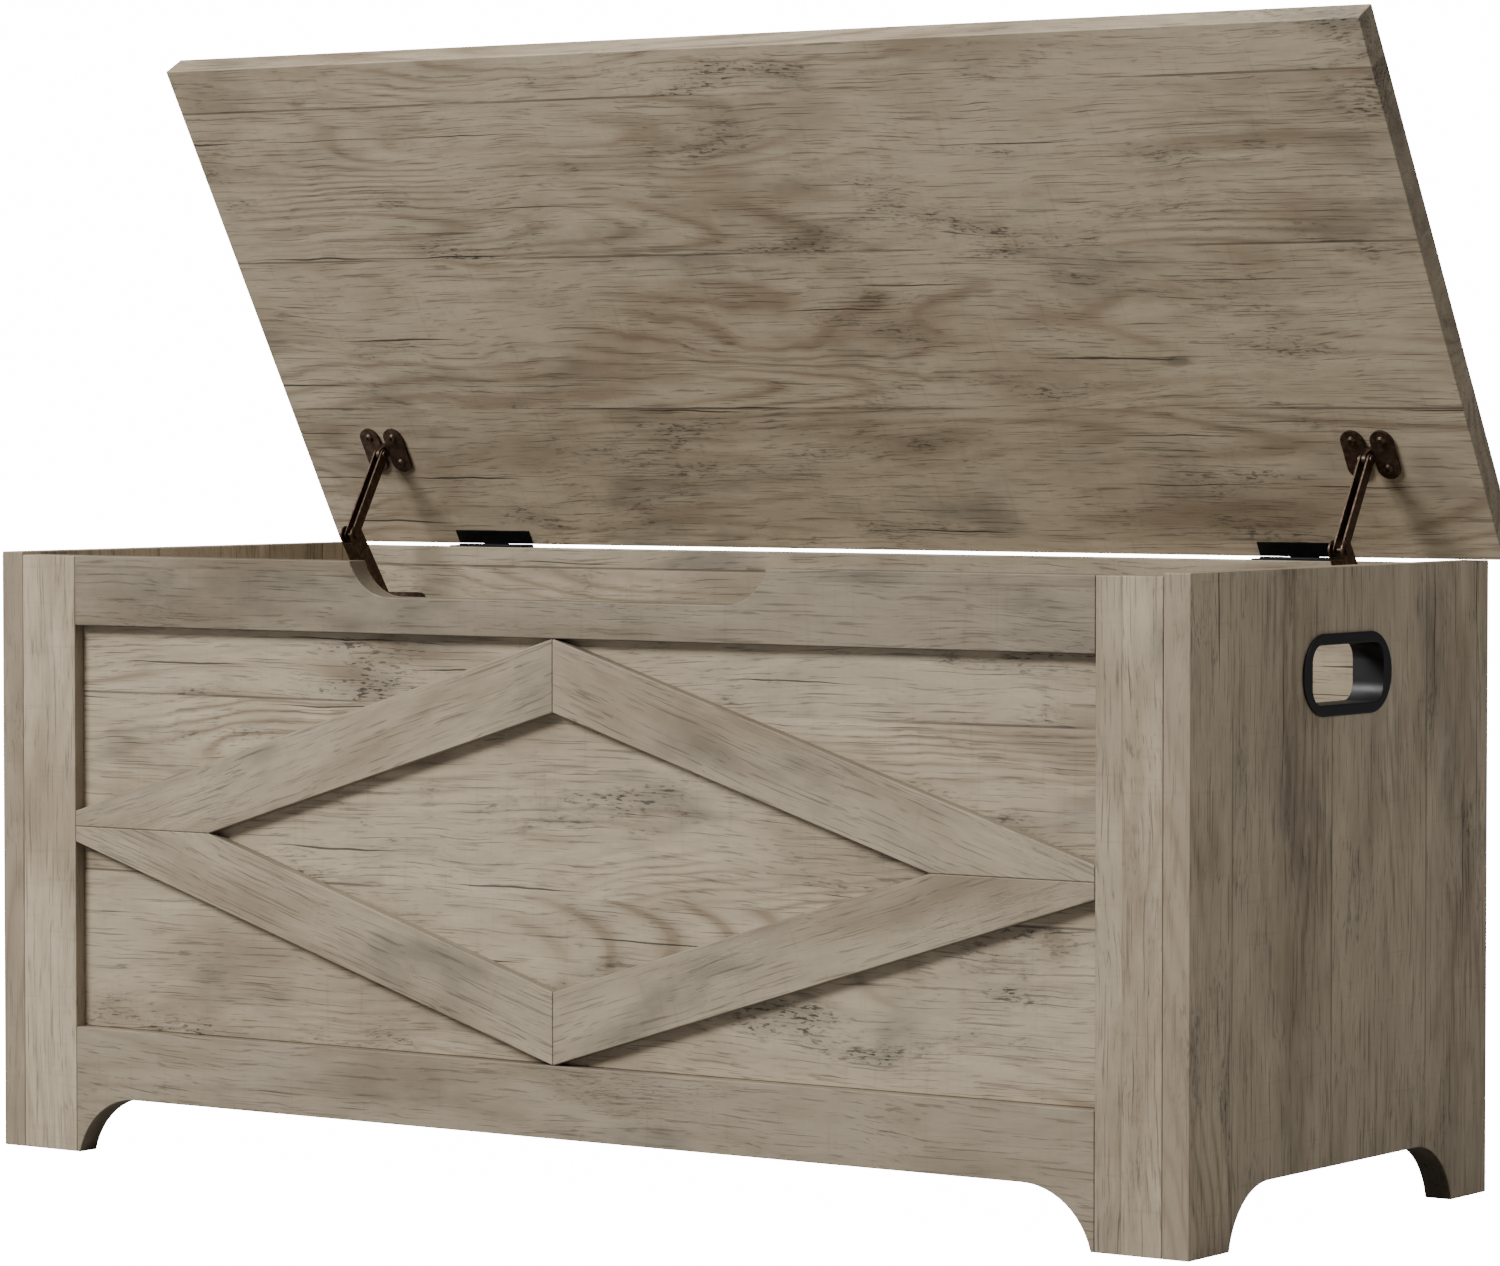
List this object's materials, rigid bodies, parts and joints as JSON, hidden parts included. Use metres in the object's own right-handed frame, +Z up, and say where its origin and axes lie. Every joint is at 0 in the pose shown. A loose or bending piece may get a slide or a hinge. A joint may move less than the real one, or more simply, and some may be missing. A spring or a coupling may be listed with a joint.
{
  "type": "toy box",
  "caption": "Wooden toy box with a panelled front, diamond strips, a hinged lid on folding stays, lined handle openings and arched feet.",
  "frame": {"origin": "on the floor, midway across the box and midway between its front face and the rearmost edge of the lid in its stored, open pose", "axes": "+X to the box's right seen from the front, +Y to its back, +Z up"},
  "size_m": [1.02, 0.4163, 0.7982],
  "materials": {
    "weathered_wood": "matt, printed or brushed grey-brown grain",
    "plain_wood": "raw beech",
    "black_plastic": "satin black",
    "black_steel": "satin black",
    "bronze_steel": "satin dark bronze",
    "nylon": "natural",
    "plain_steel": "zinc plated",
    "cast_zinc": "die cast"
  },
  "bodies": {
    "box": {"left_side_panel": "weathered_wood", "right_side_panel": "weathered_wood", "back_panel": "weathered_wood", "bottom_panel": "weathered_wood", "front_panel": "weathered_wood", "left_front_stile": "weathered_wood", "right_front_stile": "weathered_wood", "front_top_rail": "weathered_wood", "front_bottom_rail": "weathered_wood", "upper_left_diamond_strip": "weathered_wood", "upper_right_diamond_strip": "weathered_wood", "lower_left_diamond_strip": "weathered_wood", "lower_right_diamond_strip": "weathered_wood", "left_bottom_cleat": "weathered_wood", "right_bottom_cleat": "weathered_wood", "frame_dowels": "plain_wood", "left_handle_sleeve": "black_plastic", "left_handle_ring": "black_plastic", "left_hinge_body_leaf": "black_steel", "left_hinge_pin": "plain_steel", "left_stay_base": "bronze_steel", "left_base_rivet": "bronze_steel", "right_handle_sleeve": "black_plastic", "right_handle_ring": "black_plastic", "right_hinge_body_leaf": "black_steel", "right_hinge_pin": "plain_steel", "right_stay_base": "bronze_steel", "right_base_rivet": "bronze_steel", "hinge_body_screws": "black_steel", "stay_base_screws": "bronze_steel", "stay_friction_washers": "nylon", "cam_bolts": "plain_steel", "cam_locks": "cast_zinc", "cleat_screws": "plain_steel"},
    "lid": {"lid_board": "weathered_wood", "hinge_lid_screws": "black_steel", "stay_lid_screws": "bronze_steel", "left_hinge_lid_leaf": "black_steel", "left_stay_lid_bracket": "bronze_steel", "left_ear_rivet": "bronze_steel", "right_hinge_lid_leaf": "black_steel", "right_stay_lid_bracket": "bronze_steel", "right_ear_rivet": "bronze_steel"},
    "left_lower_arm": {"left_stay_lower_arm": "bronze_steel", "left_elbow_rivet": "bronze_steel"},
    "left_upper_arm": {"left_stay_upper_arm": "bronze_steel"},
    "right_lower_arm": {"right_stay_lower_arm": "bronze_steel", "right_elbow_rivet": "bronze_steel"},
    "right_upper_arm": {"right_stay_upper_arm": "bronze_steel"}
  },
  "joints": [
    {"name": "lid_hinge", "type": "hinge", "parent": "box", "child": "lid", "pos_m": [0, 0.19, 0.43], "axis": [-1, 0, 0], "range_deg": [-60, 0]},
    {"name": "left_stay_base_pivot", "type": "hinge", "parent": "box", "child": "left_lower_arm", "pos_m": [-0.43, 0.154, 0.369], "axis": [-1, 0, 0], "range_deg": [-60, 0]},
    {"name": "left_stay_elbow", "type": "hinge", "parent": "left_lower_arm", "child": "left_upper_arm", "pos_m": [-0.43, 0.10655, 0.43918], "axis": [-1, 0, 0], "range_deg": [0, 60]},
    {"name": "right_stay_base_pivot", "type": "hinge", "parent": "box", "child": "right_lower_arm", "pos_m": [0.43, 0.154, 0.369], "axis": [-1, 0, 0], "range_deg": [-60, 0]},
    {"name": "right_stay_elbow", "type": "hinge", "parent": "right_lower_arm", "child": "right_upper_arm", "pos_m": [0.43, 0.10655, 0.43918], "axis": [-1, 0, 0], "range_deg": [0, 60]}
  ],
  "couplings": [
    {"joint": "left_stay_base_pivot", "follows": "lid_hinge", "ratio": 1},
    {"joint": "left_stay_elbow", "follows": "lid_hinge", "ratio": -1},
    {"joint": "right_stay_base_pivot", "follows": "lid_hinge", "ratio": 1},
    {"joint": "right_stay_elbow", "follows": "lid_hinge", "ratio": -1}
  ]
}
